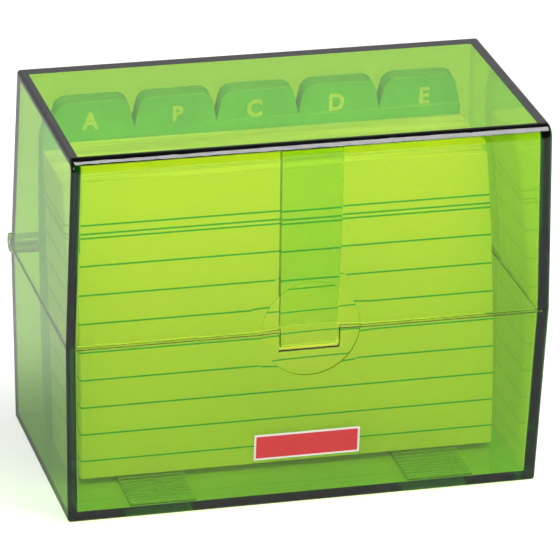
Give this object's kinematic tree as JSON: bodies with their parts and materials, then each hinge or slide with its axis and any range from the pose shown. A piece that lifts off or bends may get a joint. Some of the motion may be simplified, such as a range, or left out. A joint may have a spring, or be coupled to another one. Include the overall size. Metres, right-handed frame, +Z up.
{
  "type": "card index box",
  "caption": "Clear green plastic card index box with a rear-hinged lid, a front closing tongue with a finger dish, a stack of ruled cards and lettered index guides.",
  "frame": {"origin": "middle of the flat underside of the case", "axes": "+Z up, -Y out of the front with the closing tongue, +X to the right seen from the front"},
  "size_m": [0.085, 0.048, 0.0663],
  "materials": {
    "clear_green_plastic": "clear gloss",
    "pin_steel": "drawn wire",
    "label_red": "gloss foil",
    "card_paper": "smooth ruled card",
    "guide_board": "smooth coloured board"
  },
  "bodies": {
    "case": {"base_tray": "clear_green_plastic", "hinge_pin_left": "pin_steel", "hinge_pin_right": "pin_steel", "front_label": "label_red"},
    "lid": {"lid_shell": "clear_green_plastic"},
    "cards_1": {"ruled_cards_01": "card_paper", "ruled_cards_02": "card_paper"},
    "cards_2": {"ruled_cards_03": "card_paper", "ruled_cards_04": "card_paper"},
    "cards_3": {"ruled_cards_05": "card_paper", "ruled_cards_06": "card_paper"},
    "cards_4": {"ruled_cards_07": "card_paper", "ruled_cards_08": "card_paper"},
    "cards_5": {"ruled_cards_09": "card_paper", "ruled_cards_10": "card_paper"},
    "guides_a_to_e": {"guide_a": "guide_board", "guide_b": "guide_board", "guide_c": "guide_board", "guide_d": "guide_board", "guide_e": "guide_board"},
    "guides_f_to_j": {"guide_f": "guide_board", "guide_g": "guide_board", "guide_h": "guide_board", "guide_i": "guide_board", "guide_j": "guide_board"},
    "guides_k_to_o": {"guide_k": "guide_board", "guide_l": "guide_board", "guide_m": "guide_board", "guide_n": "guide_board", "guide_o": "guide_board"},
    "guides_p_to_t": {"guide_p": "guide_board", "guide_q": "guide_board", "guide_r": "guide_board", "guide_s": "guide_board", "guide_t": "guide_board"},
    "guides_u_to_yz": {"guide_u": "guide_board", "guide_v": "guide_board", "guide_w": "guide_board", "guide_x": "guide_board", "guide_yz": "guide_board"}
  },
  "joints": [
    {"name": "lid_hinge", "type": "hinge", "parent": "case", "child": "lid", "pos_m": [0, 0.02365, 0.0331], "axis": [-1, 0, 0], "range_deg": [0, 175]},
    {"name": "tip_cards_1", "type": "hinge", "parent": "case", "child": "cards_1", "pos_m": [0, -0.00888, 0.00202], "axis": [1, 0, 0], "range_deg": [0, 16]},
    {"name": "tip_cards_2", "type": "hinge", "parent": "case", "child": "cards_2", "pos_m": [0, -0.00584, 0.00202], "axis": [1, 0, 0], "range_deg": [0, 16]},
    {"name": "tip_cards_3", "type": "hinge", "parent": "case", "child": "cards_3", "pos_m": [0, -0.0028, 0.00202], "axis": [1, 0, 0], "range_deg": [0, 16]},
    {"name": "tip_cards_4", "type": "hinge", "parent": "case", "child": "cards_4", "pos_m": [0, 0.00024, 0.00202], "axis": [1, 0, 0], "range_deg": [0, 16]},
    {"name": "tip_cards_5", "type": "hinge", "parent": "case", "child": "cards_5", "pos_m": [0, 0.00328, 0.00202], "axis": [1, 0, 0], "range_deg": [0, 16]},
    {"name": "tip_guides_a_to_e", "type": "hinge", "parent": "case", "child": "guides_a_to_e", "pos_m": [0, 0.0064, 0.00202], "axis": [1, 0, 0], "range_deg": [0, 9.6]},
    {"name": "tip_guides_f_to_j", "type": "hinge", "parent": "case", "child": "guides_f_to_j", "pos_m": [0, 0.0078, 0.00202], "axis": [1, 0, 0], "range_deg": [0, 9.6]},
    {"name": "tip_guides_k_to_o", "type": "hinge", "parent": "case", "child": "guides_k_to_o", "pos_m": [0, 0.0092, 0.00202], "axis": [1, 0, 0], "range_deg": [0, 9.6]},
    {"name": "tip_guides_p_to_t", "type": "hinge", "parent": "case", "child": "guides_p_to_t", "pos_m": [0, 0.0106, 0.00202], "axis": [1, 0, 0], "range_deg": [0, 9.6]},
    {"name": "tip_guides_u_to_yz", "type": "hinge", "parent": "case", "child": "guides_u_to_yz", "pos_m": [0, 0.012, 0.00202], "axis": [1, 0, 0], "range_deg": [0, 9.6]}
  ],
  "couplings": [
    {"joint": "tip_cards_2", "follows": "tip_cards_1", "ratio": 1},
    {"joint": "tip_cards_3", "follows": "tip_cards_1", "ratio": 1},
    {"joint": "tip_cards_4", "follows": "tip_cards_1", "ratio": 1},
    {"joint": "tip_cards_5", "follows": "tip_cards_1", "ratio": 1},
    {"joint": "tip_guides_a_to_e", "follows": "tip_cards_1", "ratio": 0.6},
    {"joint": "tip_guides_f_to_j", "follows": "tip_cards_1", "ratio": 0.6},
    {"joint": "tip_guides_k_to_o", "follows": "tip_cards_1", "ratio": 0.6},
    {"joint": "tip_guides_p_to_t", "follows": "tip_cards_1", "ratio": 0.6},
    {"joint": "tip_guides_u_to_yz", "follows": "tip_cards_1", "ratio": 0.6}
  ]
}
